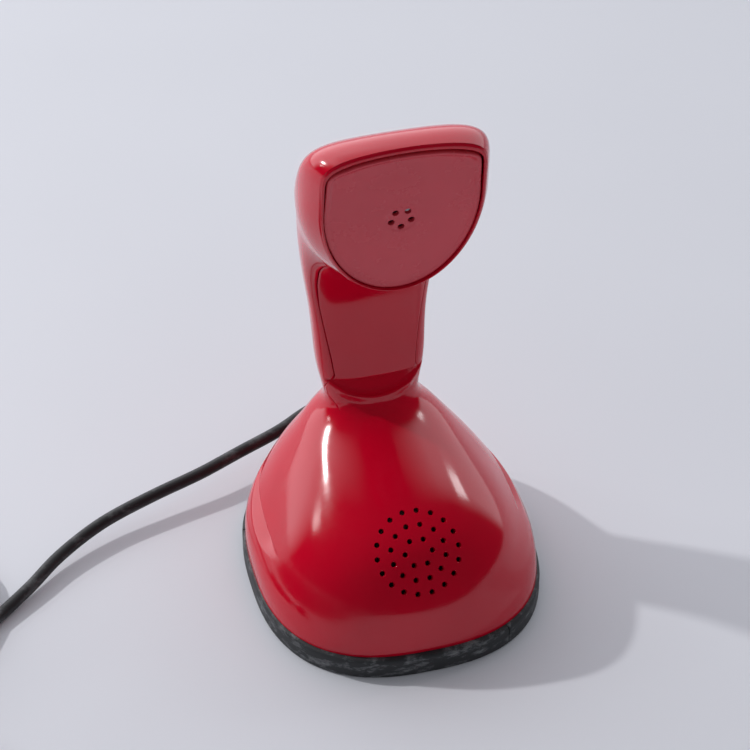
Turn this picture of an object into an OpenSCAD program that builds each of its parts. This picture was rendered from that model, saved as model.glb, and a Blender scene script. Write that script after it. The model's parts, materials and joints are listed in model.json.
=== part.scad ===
// One-piece upright telephone: receiver in the head, transmitter in the foot,
// rotary dial and line button in the underside.
// Frame: millimetres, +Z up, front towards -Y, origin under the middle of the foot band.

/* [Foot band] */
// Width over the rubber foot band
band_w = 111; // [110:0.5:112]
// Depth over the rubber foot band
band_d = 121; // [120:0.5:122]
// Height of the band
band_h = 8.8; // [8.6:0.1:9]
// Thickness of the band's wall
band_t = 4.6; // [4.4:0.1:4.8]

/* [Shell] */
// Wall of the moulded shell
wall = 2.8; // [2.4:0.1:3]
// Depth of the grip grooves and of the hollow under the neck panel
groove_depth = 1.6; // [1:0.1:1.8]
// Gap round the neck panel and the receiver cap
seam = 0.25; // [0.2:0.05:0.4]

/* [Sound holes] */
// Spacing of the rings of transmitter holes
mic_ring = 5.2; // [4.8:0.1:5.4]
// Diameter of a transmitter hole
mic_hole_d = 2.1; // [1.6:0.1:2.4]
// Radius of the ring of receiver holes
ear_ring = 3.75; // [3.4:0.05:4.2]
// Diameter of a receiver hole
ear_hole_d = 2.4; // [1.8:0.1:2.8]

/* [Dial] */
// Diameter of the finger wheel
wheel_d = 77; // [76:0.5:78]
// Diameter of a finger hole
finger_d = 12.5; // [11.5:0.25:13]
// Radius of the ring of finger holes
finger_ring = 28; // [27.5:0.25:28.5]
// Diameter of the line button
button_d = 20.6; // [18:0.2:21]

/* [Line cord] */
// Diameter of the cord
cord_d = 5; // [4.6:0.1:5]

/* [Hidden] */

$fn = 48;
// A small overlap that keeps cuts clean
eps = 0.01;

// The shell's rings from the foot to the ear face. Each row: middle y, middle z, tilt,
// half width, reach forward, reach back, roundness forward, roundness back.
spine = [
    [0, 2, 0, band_w / 2 - 1, band_d / 2 - 2.5, band_d / 2 - 2, 2.6, 2.5],
    [0, 10, 0, band_w / 2 - 1, band_d / 2 - 2.5, band_d / 2 - 2, 2.6, 2.5],
    [0.5, 19.5, 0, 54.6, 56, 58.5, 2.35, 2.4],
    [3, 28.5, 0, 47.8, 55.4, 56.5, 2.45, 2.4],
    [8, 38, 0, 41.4, 54, 49.5, 3.1, 2.3],
    [13, 48, 0, 33.3, 52.3, 38.5, 2.2, 2.3],
    [21, 56, 0, 26.4, 39, 28, 2, 2.2],
    [25.5, 61, 0, 20.6, 25, 20.5, 1.8, 2.1],
    [28, 65, 0, 18.2, 15.5, 17.2, 1.8, 2.1],
    [29.5, 70, 0, 18.4, 12.2, 16.5, 2.3, 2.1],
    [31.5, 81, 0, 21.2, 10.5, 14.5, 3.4, 2.1],
    [34.5, 101.5, 3, 21.5, 9.5, 13.5, 3.8, 2.1],
    [35, 122, 12, 24.5, 10, 13.5, 3.8, 2.1],
    [30.5, 142.5, 30, 27, 14, 14, 3, 2.1],
    [21, 162, 54, 29, 23, 16, 2.2, 2.5],
    [5.5, 177.5, 80, 33.5, 36, 20, 2, 3.4],
    [-7, 185.5, 93, 33.5, 42, 27.5, 2, 4.2],
    [-16, 186.5, 97, 29, 42.5, 25, 2, 4.6]];
face = spine[17];
face_t = 17;
// Wall at the shell's lip round the receiver cap
lip_t = 1.5;
lip_from = 15.4;

// Levels of the dial, counted up from the table
plate_z = 6.7;
plate_t = 2;
deck_z = 24;
deck_t = 1.4;
frame_r = 41.8;
wheel_z = 2.4;
wheel_t = 2.5;
hub_r = 5.95;
stem_r = 3.2;
stem_bore_r = 3.3;
run_gap = 0.05;
button_travel = 4;
// Direction of the finger stop; the first hole is 60 degrees before it
stop_a = -60;
hole_pitch = 30;
hole_count = 10;

// Gear train: modules, tooth counts and places
main_m = 0.7;
main_n = 56;
pulse_n = 14;
fine_m = 0.5;
fine_n = 48;
gov_n = 12;
pulse_dir = 60;
gov_dir = 150;
pulse_r = main_m * (main_n + pulse_n) / 2;
gov_r = fine_m * (fine_n + gov_n) / 2;
pulse_at = pulse_r * [cos(pulse_dir), sin(pulse_dir)];
gov_at = pulse_at + gov_r * [cos(gov_dir), sin(gov_dir)];
pillar_at = [[-14, 28], [26, 14], [14, 37]];
deck_pillar_at = [[40, 20], [26, 42], [-26, 42], [-40, 20]];

// Lever of the line switch
lever_y = 17;
lever_z = 37.35;
bracket_z = 29;

// Transmitter: middle of the holes, and the tilt of its face
mic_at = [0, -41.2, 44.2];
mic_tilt = 47;
mic_depth = 7.3;
// Thickness of the gasket in front of the transmitter
gasket_t = 0.7;
capsule_r = 19;
capsule_t = 10;

// Receiver: middle of the holes on the ear face, down from its middle
ear_drop = 8.9;
ear_r = 20;

// Line cord: straight out of the boot, round to the left and along the table
cord_r = cord_d / 2;
exit_z = 14;
boot_y = 70;
cord_route = [[0, boot_y, exit_z], [-1.4, 75.2, 13.9], [-5.2, 79, 13.8], [-10.5, 80, 13.6],
    [-16, 78, 13.2], [-28, 71.5, 12.3], [-45, 64.5, 11.5], [-63, 57, 10.6], [-85, 50, 9.2],
    [-106, 42, 7.4], [-124.5, 30.5, 5.4], [-138.5, 18, 3.8], [-152, 7, 2.8],
    [-162, -1, 2.5], [-170.6, -7.3, 2.5]];
coil_at = [-194, 22];
coil_in = 15;
coil_out = 40;
coil_h = 10;
tie_dir = 100;
plug_at = [-190, -36, 8];
plug_l = 27;
tail_route = [[-175.3, -10.5, 7.5], [-181.5, -14.8, 7.6], [-186.6, -20.6, 7.8],
    [-189.4, -28, 8], plug_at];

// ---------- curves and lofts ----------

// Weights of a smooth curve through four rows
function blend4(a, b, c, d, f) =
    (a * pow(1 - f, 3) + b * (3 * f * f * f - 6 * f * f + 4)
    + c * (-3 * f * f * f + 3 * f * f + 3 * f + 1) + d * f * f * f) / 6;

// The spine's row at place t, from 0 at the foot to 17 at the ear face
function row_at(t) =
    let (n = len(spine), i = min(floor(t), n - 2), f = t - i)
    let (before = i > 0 ? spine[i - 1] : 2 * spine[0] - spine[1])
    let (after = i < n - 2 ? spine[i + 2] : 2 * spine[n - 1] - spine[n - 2])
    blend4(before, spine[i], spine[i + 1], after, f);

// Distance from the middle of a rounded ring to its edge, over its reach
function round_at(a, n) = pow(pow(abs(cos(a)), n) + pow(abs(sin(a)), n), -1 / n);

// One ring of the shell, moved inwards by inset
function ring(r, inset, sides) = [
    for (k = [0:sides - 1])
        let (a = 360 * k / sides, ahead = cos(a) >= 0)
        let (q = round_at(a, ahead ? r[6] : r[7]), d = (ahead ? r[4] : r[5]) - inset)
        [(r[3] - inset) * sin(a) * q, r[0] - cos(r[2]) * d * cos(a) * q,
            r[1] - sin(r[2]) * d * cos(a) * q]];

// Wall at place t, thinner at the lip round the cap
function wall_at(t) =
    t < lip_from ? wall : max(lip_t, wall - (wall - lip_t) * (t - lip_from) / (face_t - lip_from));

function join(rings) = [for (r = rings) for (p = r) p];

// A closed skin over a row of rings
module skin(rings) {
    n = len(rings[0]);
    last = len(rings) - 1;
    side_faces = [
        for (i = [0:last - 1]) for (k = [0:n - 1])
            let (a = i * n + k, b = i * n + (k + 1) % n)
            each [[a, a + n, b + n], [a, b + n, b]]];
    low = [for (k = [0:n - 1]) k];
    high = [for (k = [n - 1:-1:0]) last * n + k];
    polyhedron(join(rings), concat(side_faces, [low, high]), convexity = 8);
}

// The body between two places on the spine, moved inwards by inset
module body(from, to, inset, steps, sides) {
    skin([for (i = [0:steps])
        let (t = from + (to - from) * i / steps)
        ring(row_at(t), inset, sides)]);
}

// The hollow inside the shell, open at the foot and at the ear face
module hollow(steps, sides) {
    skin([for (i = [0:steps])
        let (t = (face_t + 0.3) * i / steps)
        ring(row_at(t), wall_at(t), sides)]);
}

// Rounded plan outline of the foot, moved inwards by inset
function oval(w, d, n, inset, sides) = [
    for (k = [0:sides - 1])
        let (a = 360 * k / sides, q = round_at(a, n))
        [(w / 2 - inset) * sin(a) * q, -(d / 2 - inset) * cos(a) * q]];

module foot_outline(inset) {
    polygon(oval(band_w, band_d, 2.55, inset, 96));
}

// Part of the plan between two directions, counted from the front towards +X
module sector(from, to) {
    reach = 100;
    polygon(concat([[0, 0]], [for (i = [0:8])
        let (a = from + (to - from) * i / 8)
        [reach * sin(a), -reach * cos(a)]]));
}

// Moves its children into the plane of a spine row, +Z out of the ear face
module on_row(r) {
    translate([0, r[0], r[1]]) rotate([r[2], 0, 0]) children();
}

// Moves its children to the transmitter holes, +Z outwards, +Y up the front
module on_mic(depth) {
    translate(mic_at) rotate([mic_tilt, 0, 0]) translate([0, 0, -depth]) children();
}

function unit(v) = v / norm(v);

// A smooth route through hand-placed points
function route_point(p, i, f) =
    let (a = p[max(i - 1, 0)], b = p[i], c = p[i + 1], d = p[min(i + 2, len(p) - 1)])
    0.5 * (2 * b + (c - a) * f + (2 * a - 5 * b + 4 * c - d) * f * f
    + (3 * b - a - 3 * c + d) * f * f * f);
function smooth_route(p, cuts) = concat(
    [for (i = [0:len(p) - 2]) for (j = [0:cuts - 1]) route_point(p, i, j / cuts)],
    [p[len(p) - 1]]);

// A round tube along a route; flat is a direction that the route never runs along
module tube_along(p, r, sides, flat) {
    last = len(p) - 1;
    skin([for (i = [0:last])
        let (t = unit(p[min(i + 1, last)] - p[max(i - 1, 0)]))
        let (u = unit(cross(t, flat)), v = cross(t, u))
        [for (k = [0:sides - 1]) p[i] + r * (cos(360 * k / sides) * u - sin(360 * k / sides) * v)]]);
}

module tube(r_out, r_in, h) {
    difference() {
        cylinder(r = r_out, h = h);
        translate([0, 0, -eps]) cylinder(r = r_in, h = h + 2 * eps);
    }
}

// ---------- gears ----------

function involute(a) = tan(a) - a * PI / 180;

// Half the width of a tooth at radius r, in degrees
function half_tooth(m, n, r, slack) =
    let (pitch = m * n / 2, base = pitch * cos(20), a = acos(min(1, base / max(r, base))))
    90 / n - slack / pitch * 90 / PI + (involute(20) - involute(a)) * 180 / PI;

// Outline of a spur gear with short teeth and some slack
module gear_outline(m, n) {
    tip = m * n / 2 + 0.78 * m;
    base = m * n / 2 * cos(20);
    root = m * n / 2 - 1.1 * m;
    low = max(root + 0.02, base);
    levels = [root, low, (low + tip) / 2, tip];
    slack = 0.06;
    polygon([for (k = [0:n - 1]) each concat(
        [for (i = [0:3]) let (a = 360 * k / n - half_tooth(m, n, levels[i], slack))
            levels[i] * [cos(a), sin(a)]],
        [for (i = [3:-1:0]) let (a = 360 * k / n + half_tooth(m, n, levels[i], slack))
            levels[i] * [cos(a), sin(a)]])]);
}

// ---------- housing ----------

// Front outline of the neck panel: [half width, height] from its lower edge up
panel_side = [[14, 78.4], [15.7, 80], [16.4, 87], [18, 97.5], [20, 111], [21, 122],
    [21, 131], [19.5, 135.5], [15.5, 137.5]];
panel_reach = 60;
panel_back = 33;

// Level bar across the outline at row i, grown by grow
module panel_bar(i, grow) {
    w = panel_side[i][0] + grow;
    shift = i == 0 ? -grow : i == len(panel_side) - 1 ? grow : 0;
    translate([-w, panel_back - panel_reach, panel_side[i][1] + shift])
        cube([2 * w, panel_reach, eps]);
}

module panel_prism(grow) {
    for (i = [0:len(panel_side) - 2]) hull() {
        panel_bar(i, grow);
        panel_bar(i + 1, grow);
    }
}

// Hollow under the panel's lower edge: an arc below, the panel's edge above
module chin_prism() {
    low = [for (i = [0:12]) let (x = -17 + 34 * i / 12) [x, 71.4 + 4.6 * pow(x / 17, 2)]];
    translate([0, panel_back, 0]) rotate([90, 0, 0]) linear_extrude(panel_reach)
        polygon(concat(low, [[15.5, 79.5], [-15.5, 79.5]]));
}

// Leaf-shaped grip groove in each flank
groove_from = -12;
groove_l = 62;
groove_z = 27.8;
groove_up = 0.8;
groove_down = 5;
module groove_prism() {
    top = [for (i = [0:10]) let (f = i / 10)
        [groove_from + groove_l * f, groove_z + groove_up * sin(180 * pow(f, 0.7))]];
    low = [for (i = [10:-1:1]) let (f = i / 10)
        [groove_from + groove_l * f, groove_z - groove_down * sin(180 * pow(f, 0.6))]];
    for (side = [-1, 1]) translate([side > 0 ? 20 : -80, 0, 0])
        rotate([90, 0, 90]) linear_extrude(60) polygon(concat(top, low));
}

// Small round hole as one hull, so that the whole shell is cut in one piece
module pin_hole(d, h) {
    hull() cylinder(d = d, h = h, $fn = 12);
}

// Transmitter holes: three rings about the middle
module mic_holes() {
    on_mic(8) for (k = [1:3]) for (i = [0:6 * k - 1])
        let (a = (i + 0.5) * 60 / k)
        translate([mic_ring * k * sin(a), mic_ring * k * cos(a), 0]) pin_hole(mic_hole_d, 16);
}

module ear_holes() {
    on_row(face) translate([0, -ear_drop, -8]) for (i = [0:4])
        let (a = 180 + 72 * i)
        translate([ear_ring * sin(a), ear_ring * cos(a), 0]) cylinder(d = ear_hole_d, h = 16, $fn = 24);
}

module main_shell() {
    color([0.62, 0.03, 0.07]) difference() {
        union() {
            difference() {
                body(0.5, face_t, 0, 50, 44);
                chin_prism();
                groove_prism();
            }
            body(0.5, 14, groove_depth, 28, 32);
        }
        hollow(32, 48);
        translate([0, 0, band_h - 50]) cube([200, 200, 100], center = true);
        panel_prism(seam);
        mic_holes();
        translate([0, boot_y, exit_z]) rotate([90, 0, 0]) pin_hole(9.2, 20);
    }
}

module neck_panel() {
    color([0.6, 0.03, 0.07]) intersection() {
        difference() {
            body(9, 15, 0, 24, 44);
            body(8.8, 15.4, wall - 0.4, 20, 32);
        }
        panel_prism(0);
    }
}

// The cap's outline on the ear face, moved in from the shell's outer ring
function cap_ring(inset, level) = [
    for (p = ring([0, 0, 0, face[3], face[4], face[5], face[6], face[7]], inset, 48))
        [p[0], p[1], level]];

module receiver_cap() {
    color([0.66, 0.08, 0.12]) difference() {
        on_row(face) skin([cap_ring(lip_t + seam + 0.7, -3.2), cap_ring(lip_t + seam, -1.1),
            cap_ring(lip_t + seam + 0.6, -0.5), cap_ring(lip_t + seam + 2, -0.6),
            cap_ring(10, -0.9), cap_ring(16, -1)]);
        ear_holes();
    }
}

// ---------- foot ----------

module foot_band(from, to) {
    color([0.12, 0.12, 0.12]) {
        linear_extrude(band_h) intersection() {
            difference() {
                foot_outline(0);
                foot_outline(band_t);
            }
            sector(from, to);
        }
        // Lip under the base plate
        translate([0, 0, 4.7]) linear_extrude(plate_z - 4.7) intersection() {
            difference() {
                foot_outline(band_t - eps);
                foot_outline(band_t + 4.4);
            }
            sector(from, to);
        }
    }
}

// The band is in two lengths that meet on the left flank and at the front right
band_gap = 0.15;
band_left = -112;
band_right = 33;
module foot_band_front() {
    foot_band(band_left + band_gap, band_right - band_gap);
}

module foot_band_rear() {
    foot_band(band_right + band_gap, band_left + 360 - band_gap);
}

module base_plate() {
    color([0.55, 0.56, 0.58]) translate([0, 0, plate_z]) difference() {
        linear_extrude(plate_t) foot_outline(band_t + 0.1);
        translate([0, 0, -eps]) cylinder(r = frame_r + 0.2, h = plate_t + 2 * eps, $fn = 96);
        for (p = deck_pillar_at) translate([p[0], p[1], -eps]) cylinder(r = 1.6, h = plate_t + 2 * eps);
    }
}

module base_screws() {
    color([0.75, 0.75, 0.72]) for (p = deck_pillar_at) translate([p[0], p[1], 0]) {
        translate([0, 0, plate_z]) cylinder(r = 1.6, h = plate_t);
        translate([0, 0, plate_z - 1.4]) difference() {
            cylinder(r = 2.6, h = 1.4);
            translate([-3, -0.3, -eps]) cube([6, 0.6, 0.7]);
        }
    }
}

// ---------- dial ----------

tab_dirs = [90, 200, 340];
tab_r = 44.6;

module dial_frame() {
    color([0.7, 0.7, 0.68]) difference() {
        union() {
            translate([0, 0, plate_z]) cylinder(r = frame_r, h = plate_t, $fn = 96);
            for (a = tab_dirs) rotate(a) translate([38, -4, plate_z + plate_t]) cube([9, 8, 1.2]);
        }
        translate([0, 0, plate_z - eps]) cylinder(r = 8, h = plate_t + 2);
        for (p = [pulse_at, gov_at]) translate([p[0], p[1], plate_z - eps])
            cylinder(r = 1 + run_gap, h = plate_t + 1);
        for (a = tab_dirs) rotate(a) translate([tab_r, 0, plate_z]) cylinder(r = 1.3, h = 5);
    }
}

module dial_screws() {
    color([0.75, 0.75, 0.72]) for (a = tab_dirs) rotate(a)
        translate([tab_r, 0, plate_z + plate_t]) {
            cylinder(r = 1.3, h = 1.2);
            translate([0, 0, 1.2]) difference() {
                cylinder(r = 2.3, h = 1.2);
                translate([-3, -0.3, 0.7]) cube([6, 0.6, 1]);
            }
        }
}

module dial_bearing() {
    color([0.72, 0.55, 0.25]) translate([0, 0, plate_z]) tube(8, hub_r + run_gap, 7.3);
}

module number_ring() {
    color([0.93, 0.92, 0.86]) translate([0, 0, plate_z - 1]) difference() {
        cylinder(r = 41, h = 1, $fn = 96);
        translate([0, 0, -eps]) cylinder(r = 17.5, h = 2);
    }
}

module finger_stop() {
    color([0.8, 0.8, 0.78]) rotate(stop_a) {
        translate([39.2, -2.5, 1.2]) cube([1.6, 5, plate_z - 1 - 1.2]);
        translate([28, -1.8, 1.2]) cube([11.3, 3.6, 0.9]);
        translate([28, 0, 1.2]) cylinder(r = 1.8, h = 0.9);
    }
}

// Direction of finger hole n, from 1 to 10
function hole_dir(n) = stop_a - hole_pitch * (n + 1);

module finger_wheel() {
    color([0.12, 0.12, 0.13]) translate([0, 0, wheel_z]) difference() {
        cylinder(d = wheel_d, h = wheel_t, $fn = 96);
        translate([0, 0, -eps]) cylinder(d = button_d + 1.4, h = wheel_t + 1);
        for (n = [1:hole_count]) rotate(hole_dir(n)) translate([finger_ring, 0, -eps])
            cylinder(d = finger_d, h = wheel_t + 1);
        for (i = [0:2]) rotate(120 * i + 15) translate([13.6, 0, -eps])
            cylinder(r = 0.9, h = wheel_t + 1);
    }
}

module wheel_screws() {
    color([0.75, 0.75, 0.72]) for (i = [0:2]) rotate(120 * i + 15) translate([13.6, 0, wheel_z])
        cylinder(r = 0.9, h = wheel_t);
}

module dial_hub() {
    color([0.75, 0.6, 0.3]) difference() {
        union() {
            translate([0, 0, wheel_z + wheel_t]) cylinder(r = 16, h = 1.2);
            translate([0, 0, wheel_z + wheel_t]) cylinder(r = hub_r, h = 17 - wheel_z - wheel_t);
        }
        translate([0, 0, 2]) cylinder(r = stem_bore_r, h = 20);
    }
}

main_gear_z = 15;
module main_gear() {
    color([0.8, 0.66, 0.34]) difference() {
        union() {
            translate([0, 0, main_gear_z]) linear_extrude(1.5)
                rotate(pulse_dir) gear_outline(main_m, main_n);
            translate([0, 0, 9.4]) cylinder(r = 9.3, h = main_gear_z - 9.4 + eps);
        }
        translate([0, 0, 9]) cylinder(r = 8.3, h = main_gear_z - 9.3);
        translate([0, 0, 9]) cylinder(r = hub_r, h = 10);
    }
}

module main_spring() {
    turns = 6;
    strip = 0.35;
    steps = 26 * turns;
    outer = [for (i = [0:steps]) let (f = i / steps, r = 9.8 + 6.6 * f, a = 360 * turns * f)
        r * [cos(a), sin(a)]];
    inner = [for (i = [steps:-1:0]) let (f = i / steps, r = 9.8 - strip + 6.6 * f, a = 360 * turns * f)
        r * [cos(a), sin(a)]];
    color([0.35, 0.38, 0.45]) translate([0, 0, 9.9]) linear_extrude(3.4)
        polygon(concat(outer, inner));
}

module at_pulse() {
    translate([pulse_at[0], pulse_at[1], 0]) children();
}

module at_governor() {
    translate([gov_at[0], gov_at[1], 0]) children();
}

module pulse_shaft() {
    color([0.7, 0.72, 0.74]) at_pulse() translate([0, 0, 7]) cylinder(r = 1, h = 15.3);
}

module pulse_pinion() {
    color([0.8, 0.66, 0.34]) at_pulse() translate([0, 0, 14.6]) difference() {
        linear_extrude(2.3) rotate(pulse_dir + 180 + 180 / pulse_n) gear_outline(main_m, pulse_n);
        translate([0, 0, -eps]) cylinder(r = 1, h = 4);
    }
}

module pulse_cam() {
    lobes = [for (k = [0:71]) let (a = 5 * k) (4.8 + 0.7 * cos(3 * a)) * [cos(a), sin(a)]];
    color([0.85, 0.82, 0.7]) at_pulse() translate([0, 0, 11]) difference() {
        linear_extrude(2) polygon(lobes);
        translate([0, 0, -eps]) cylinder(r = 1, h = 4);
    }
}

module pulse_gear() {
    color([0.8, 0.66, 0.34]) at_pulse() translate([0, 0, 18.2]) difference() {
        linear_extrude(1.2) rotate(gov_dir) gear_outline(fine_m, fine_n);
        translate([0, 0, -eps]) cylinder(r = 1, h = 4);
    }
}

module governor_shaft() {
    color([0.7, 0.72, 0.74]) at_governor() translate([0, 0, 7]) cylinder(r = 1, h = 15.3);
}

module governor_pinion() {
    color([0.8, 0.66, 0.34]) at_governor() translate([0, 0, 17.9]) difference() {
        linear_extrude(1.8) rotate(gov_dir + 180 + 180 / gov_n) gear_outline(fine_m, gov_n);
        translate([0, 0, -eps]) cylinder(r = 1, h = 4);
    }
}

module governor_rotor() {
    color([0.6, 0.6, 0.58]) at_governor() translate([0, 0, 10]) difference() {
        union() {
            cylinder(r = 2.4, h = 3.5);
            translate([-5.4, -1, 0.6]) cube([10.8, 2, 2]);
            for (side = [0, 180]) rotate(side) translate([4.6, 0, 0.3]) cylinder(r = 1.4, h = 2.8);
        }
        translate([0, 0, -eps]) cylinder(r = 1, h = 5);
    }
}

module governor_cup() {
    color([0.75, 0.6, 0.3]) at_governor() translate([0, 0, plate_z + plate_t]) {
        tube(7.6, 6.6, 5.2);
        tube(7.6, 1.3, 0.6);
    }
}

module mechanism_bridge() {
    color([0.7, 0.7, 0.68]) translate([0, 0, 21]) difference() {
        linear_extrude(1.2) hull() {
            for (p = concat(pillar_at, [[-10, 15], [9, 14]])) translate(p) circle(r = 3.6, $fn = 32);
        }
        for (p = [pulse_at, gov_at]) translate([p[0], p[1], -eps]) cylinder(r = 1 + run_gap, h = 3);
        for (p = pillar_at) translate([p[0], p[1], -eps]) cylinder(r = 1.2, h = 3);
    }
}

module bridge_pillars() {
    base = plate_z + plate_t;
    color([0.75, 0.6, 0.3]) for (p = pillar_at) translate([p[0], p[1], base]) {
        cylinder(r = 2.2, h = 21 - base);
        cylinder(r = 1.2, h = 22.2 - base);
        translate([0, 0, 22.2 - base]) cylinder(r = 2.2, h = 1, $fn = 6);
    }
}

// The pulse contacts stand just clear of the cam
contact_dir = 15;
module pulse_contact_block() {
    color([0.35, 0.2, 0.12]) at_pulse() rotate(contact_dir) difference() {
        translate([15, -3, plate_z + plate_t]) cube([7, 8, 7]);
        for (y = [0, 2.4]) translate([14, y, 11.4]) cube([9, 0.35, 1.4]);
    }
}

module pulse_contacts() {
    color([0.82, 0.72, 0.45]) at_pulse() rotate(contact_dir) for (y = [0, 2.4])
        translate([6.2, y, 11.4]) cube([15.2, 0.35, 1.4]);
}

// ---------- line button and switch ----------

module line_button() {
    color([0.12, 0.12, 0.13]) translate([0, 0, 0.3]) difference() {
        union() {
            cylinder(d1 = button_d - 1.6, d2 = button_d, h = 0.8);
            translate([0, 0, 0.8]) cylinder(d = button_d, h = 2.1);
        }
        translate([0, 0, 1.5]) cylinder(r = stem_r, h = 3);
    }
}

module button_stem() {
    color([0.8, 0.8, 0.78]) translate([0, 0, 1.8]) difference() {
        union() {
            cylinder(r = stem_r, h = 33.2);
            translate([0, 0, 33.2]) cylinder(r1 = 1.4, r2 = 0.3, h = 1.5);
        }
        translate([0, 0, 19.4]) tube(stem_r + 1, stem_r - 0.6, 0.8);
    }
}

module stem_clip() {
    color([0.35, 0.38, 0.45]) translate([0, 0, 21.2]) tube(4.8, stem_r - 0.6, 0.8);
}

module button_spring() {
    color([0.6, 0.62, 0.65]) translate([0, 0, 22]) tube(4.6, 3.6, bracket_z - 22);
}

module switch_bracket() {
    color([0.7, 0.7, 0.68]) {
        difference() {
            union() {
                translate([-9, -8, bracket_z]) cube([18, 54, 1.4]);
                for (side = [-1, 1]) translate([side * 8.3 - 0.7, 15, 22.2]) cube([1.4, 14, 7]);
                for (side = [-1, 1]) translate([side * 5.7 - 0.7, 13.5, bracket_z]) cube([1.4, 7, 11.5]);
            }
            translate([0, 0, bracket_z - 1]) cylinder(r = stem_bore_r, h = 4);
            translate([-9, lever_y, lever_z]) rotate([0, 90, 0]) cylinder(r = 1, h = 18);
        }
    }
}

module lever_pin() {
    color([0.75, 0.75, 0.72]) translate([-6.8, lever_y, lever_z]) rotate([0, 90, 0])
        cylinder(r = 1, h = 13.6);
}

module switch_lever() {
    color([0.85, 0.82, 0.7]) difference() {
        union() {
            translate([-4.6, lever_y, lever_z]) rotate([0, 90, 0]) cylinder(r = 2.2, h = 9.2);
            translate([-3, -2, lever_z - 0.75]) cube([6, 32, 1.5]);
        }
        translate([-9, lever_y, lever_z]) rotate([0, 90, 0]) cylinder(r = 1 + run_gap, h = 18);
    }
}

blade_levels = [42.2, 44.2, 46.2];
module switch_stack() {
    color([0.35, 0.2, 0.12]) difference() {
        translate([-5, 37, bracket_z + 1.4]) cube([10, 7, 17.2]);
        for (z = blade_levels) translate([-2.5, 30, z]) cube([5, 20, 0.4]);
    }
}

module switch_contacts() {
    color([0.82, 0.72, 0.45]) for (z = blade_levels) translate([-2.5, 22, z]) cube([5, 22, 0.4]);
}

// ---------- electrical parts above the dial ----------

module component_deck() {
    color([0.5, 0.36, 0.2]) translate([0, 0, deck_z]) difference() {
        linear_extrude(deck_t) intersection() {
            polygon([for (p = ring(row_at(2.6), 6, 72)) [p[0], p[1]]]);
            translate([-50, 4]) square([100, 60]);
        }
        translate([-11.5, 0, -eps]) cube([23, 47.6, 3]);
    }
}

module deck_pillars() {
    base = plate_z + plate_t;
    color([0.75, 0.6, 0.3]) for (p = deck_pillar_at) translate([p[0], p[1], base])
        cylinder(r = 2.2, h = deck_z - base);
}

core_at = [-33, 12, deck_z + deck_t];
module coil_core() {
    color([0.4, 0.42, 0.45]) translate(core_at) difference() {
        cube([19, 22, 11]);
        for (x = [3, 12]) translate([x, 4, -eps]) cube([4, 14, 12]);
    }
}

module coil_winding() {
    color([0.7, 0.35, 0.15]) translate(core_at) difference() {
        translate([3.2, 4.2, 0]) cube([12.6, 13.6, 11]);
        translate([6.9, 4, -1]) cube([5.2, 15, 13]);
    }
}

module capacitor() {
    color([0.8, 0.75, 0.3]) translate([16, 9, deck_z + deck_t]) {
        translate([0, 0, 0.4]) cube([13, 22, 10]);
        for (y = [5, 17]) translate([6.5, y, 0]) cylinder(r = 1, h = 0.4);
    }
}

block_at = [13, 35, deck_z + deck_t];
module terminal_block() {
    color([0.15, 0.15, 0.16]) translate(block_at) difference() {
        cube([15, 8, 6.6]);
        for (i = [0:3]) translate([2.2 + 3.6 * i, 4, 3]) cylinder(r = 1, h = 5);
    }
}

module terminal_screws() {
    color([0.85, 0.75, 0.4]) translate(block_at) for (i = [0:3]) translate([2.2 + 3.6 * i, 4, 0]) {
        translate([0, 0, 3]) cylinder(r = 1, h = 3.6);
        translate([0, 0, 6.6]) difference() {
            cylinder(r = 1.6, h = 1);
            translate([-2, -0.2, 0.5]) cube([4, 0.4, 1]);
        }
    }
}

module transmitter_capsule() {
    color([0.6, 0.6, 0.62]) on_mic(mic_depth + capsule_t) {
        cylinder(r = capsule_r, h = capsule_t - 2);
        translate([0, 0, capsule_t - 2]) cylinder(r = capsule_r - 1.5, h = 2);
    }
}

module transmitter_gasket() {
    color([0.2, 0.2, 0.2]) on_mic(mic_depth) tube(capsule_r - 2, capsule_r - 4, gasket_t);
}

module transmitter_holder() {
    color([0.15, 0.15, 0.16]) difference() {
        union() {
            on_mic(mic_depth + capsule_t) cylinder(r = capsule_r + 1.8, h = 7);
            for (side = [-1, 1]) translate([side * 14 - 1.5, -45, plate_z + plate_t])
                cube([3, 6, 18]);
        }
        on_mic(mic_depth + capsule_t) translate([0, 0, -0.01]) cylinder(r = capsule_r, h = 30);
        on_mic(mic_depth + capsule_t + 12) cylinder(r = capsule_r - 3, h = 20);
    }
}

transmitter_route = [[4, -28.4, 32.2], [4.2, -26.6, 30.5], [6, -22, 30.6], [10, -13, 32],
    [12.5, -3, 32], [13.6, 6, 28.5], [13.8, 18, 27.3], [14, 29, 27.5], [15, 35, 28]];
module transmitter_lead() {
    color([0.3, 0.3, 0.5]) tube_along(smooth_route(transmitter_route, 3), 1, 8, [0, 0, 1]);
}

module receiver_capsule() {
    color([0.6, 0.6, 0.62]) on_row(face) translate([0, -ear_drop, -16]) {
        cylinder(r = ear_r, h = 9);
        translate([0, 0, 9]) cylinder(r = ear_r - 2, h = 2.4);
    }
}

module receiver_gasket() {
    color([0.2, 0.2, 0.2]) on_row(face) translate([0, -ear_drop, -4.6])
        tube(ear_r - 2, ear_r - 5, 1.4);
}

module receiver_clamp() {
    color([0.7, 0.7, 0.68]) on_row(face) translate([0, -ear_drop, -17.2]) {
        difference() {
            union() {
                cylinder(r = ear_r + 0.4, h = 1.2);
                translate([-24.4, -3, 0]) cube([48.8, 6, 1.2]);
                for (side = [-1, 1]) translate([side * 23 - 0.8, -3, 0]) cube([1.6, 6, 14]);
            }
            translate([0, 0, -1]) cylinder(r = 12, h = 3);
        }
    }
}

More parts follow.
